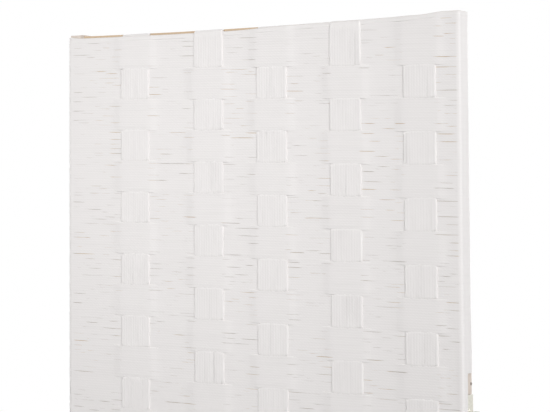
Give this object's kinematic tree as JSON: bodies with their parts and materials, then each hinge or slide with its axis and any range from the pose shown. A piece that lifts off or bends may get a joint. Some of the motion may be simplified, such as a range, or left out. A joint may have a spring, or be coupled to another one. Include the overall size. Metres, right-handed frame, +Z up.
{
  "type": "folding screen",
  "caption": "Free-standing folding screen of panels woven in paper cord over slim wooden frames, joined by loose-pin hinges and standing in a zigzag.",
  "frame": {"origin": "on the floor, under the middle of the whole screen's box as it stands", "axes": "+Z up; the first panel stands across X at the front and its face looks along -Y"},
  "size_m": [0.694, 0.4574, 1.7],
  "materials": {
    "frame_wood": "bare, sanded",
    "core_board": "bare plywood",
    "weft_cord": "twisted paper cord, matt white",
    "warp_cord": "twisted paper cord, matt white",
    "plated_steel": "pale passivated zinc plate",
    "pin_steel": "bright zinc plate"
  },
  "bodies": {
    "panel_1": {"panel_1_stile_left": "frame_wood", "panel_1_stile_right": "frame_wood", "panel_1_rail_top": "frame_wood", "panel_1_rail_bottom": "frame_wood", "panel_1_core_board": "core_board", "panel_1_weft_sleeve": "weft_cord", "panel_1_warp_band_1": "warp_cord", "panel_1_warp_band_2": "warp_cord", "panel_1_warp_band_3": "warp_cord", "panel_1_warp_band_4": "warp_cord", "panel_1_warp_band_5": "warp_cord", "panel_1_leaf_right_upper": "plated_steel", "panel_1_leaf_right_lower": "plated_steel", "panel_1_leaf_left_upper": "plated_steel", "panel_1_hinge_pin_upper": "pin_steel", "panel_1_leaf_left_lower": "plated_steel", "panel_1_hinge_pin_lower": "pin_steel"},
    "panel_2": {"panel_2_stile_left": "frame_wood", "panel_2_stile_right": "frame_wood", "panel_2_rail_top": "frame_wood", "panel_2_rail_bottom": "frame_wood", "panel_2_core_board": "core_board", "panel_2_weft_sleeve": "weft_cord", "panel_2_warp_band_1": "warp_cord", "panel_2_warp_band_2": "warp_cord", "panel_2_warp_band_3": "warp_cord", "panel_2_warp_band_4": "warp_cord", "panel_2_warp_band_5": "warp_cord", "panel_2_leaf_right_upper": "plated_steel", "panel_2_leaf_right_lower": "plated_steel", "panel_2_leaf_left_upper": "plated_steel", "panel_2_hinge_pin_upper": "pin_steel", "panel_2_leaf_left_lower": "plated_steel", "panel_2_hinge_pin_lower": "pin_steel"},
    "panel_3": {"panel_3_stile_left": "frame_wood", "panel_3_stile_right": "frame_wood", "panel_3_rail_top": "frame_wood", "panel_3_rail_bottom": "frame_wood", "panel_3_core_board": "core_board", "panel_3_weft_sleeve": "weft_cord", "panel_3_warp_band_1": "warp_cord", "panel_3_warp_band_2": "warp_cord", "panel_3_warp_band_3": "warp_cord", "panel_3_warp_band_4": "warp_cord", "panel_3_warp_band_5": "warp_cord", "panel_3_leaf_right_upper": "plated_steel", "panel_3_leaf_right_lower": "plated_steel", "panel_3_leaf_left_upper": "plated_steel", "panel_3_leaf_left_lower": "plated_steel"}
  },
  "joints": [
    {"name": "fold_1_2", "type": "hinge", "parent": "panel_1", "child": "panel_2", "pos_m": [-0.09776, -0.20072, 1.306], "axis": [0, 0, 1], "range_deg": [-60, 120]},
    {"name": "fold_2_3", "type": "hinge", "parent": "panel_2", "child": "panel_3", "pos_m": [0.09776, 0.19632, 1.306], "axis": [0, 0, -1], "range_deg": [-60, 120]}
  ]
}
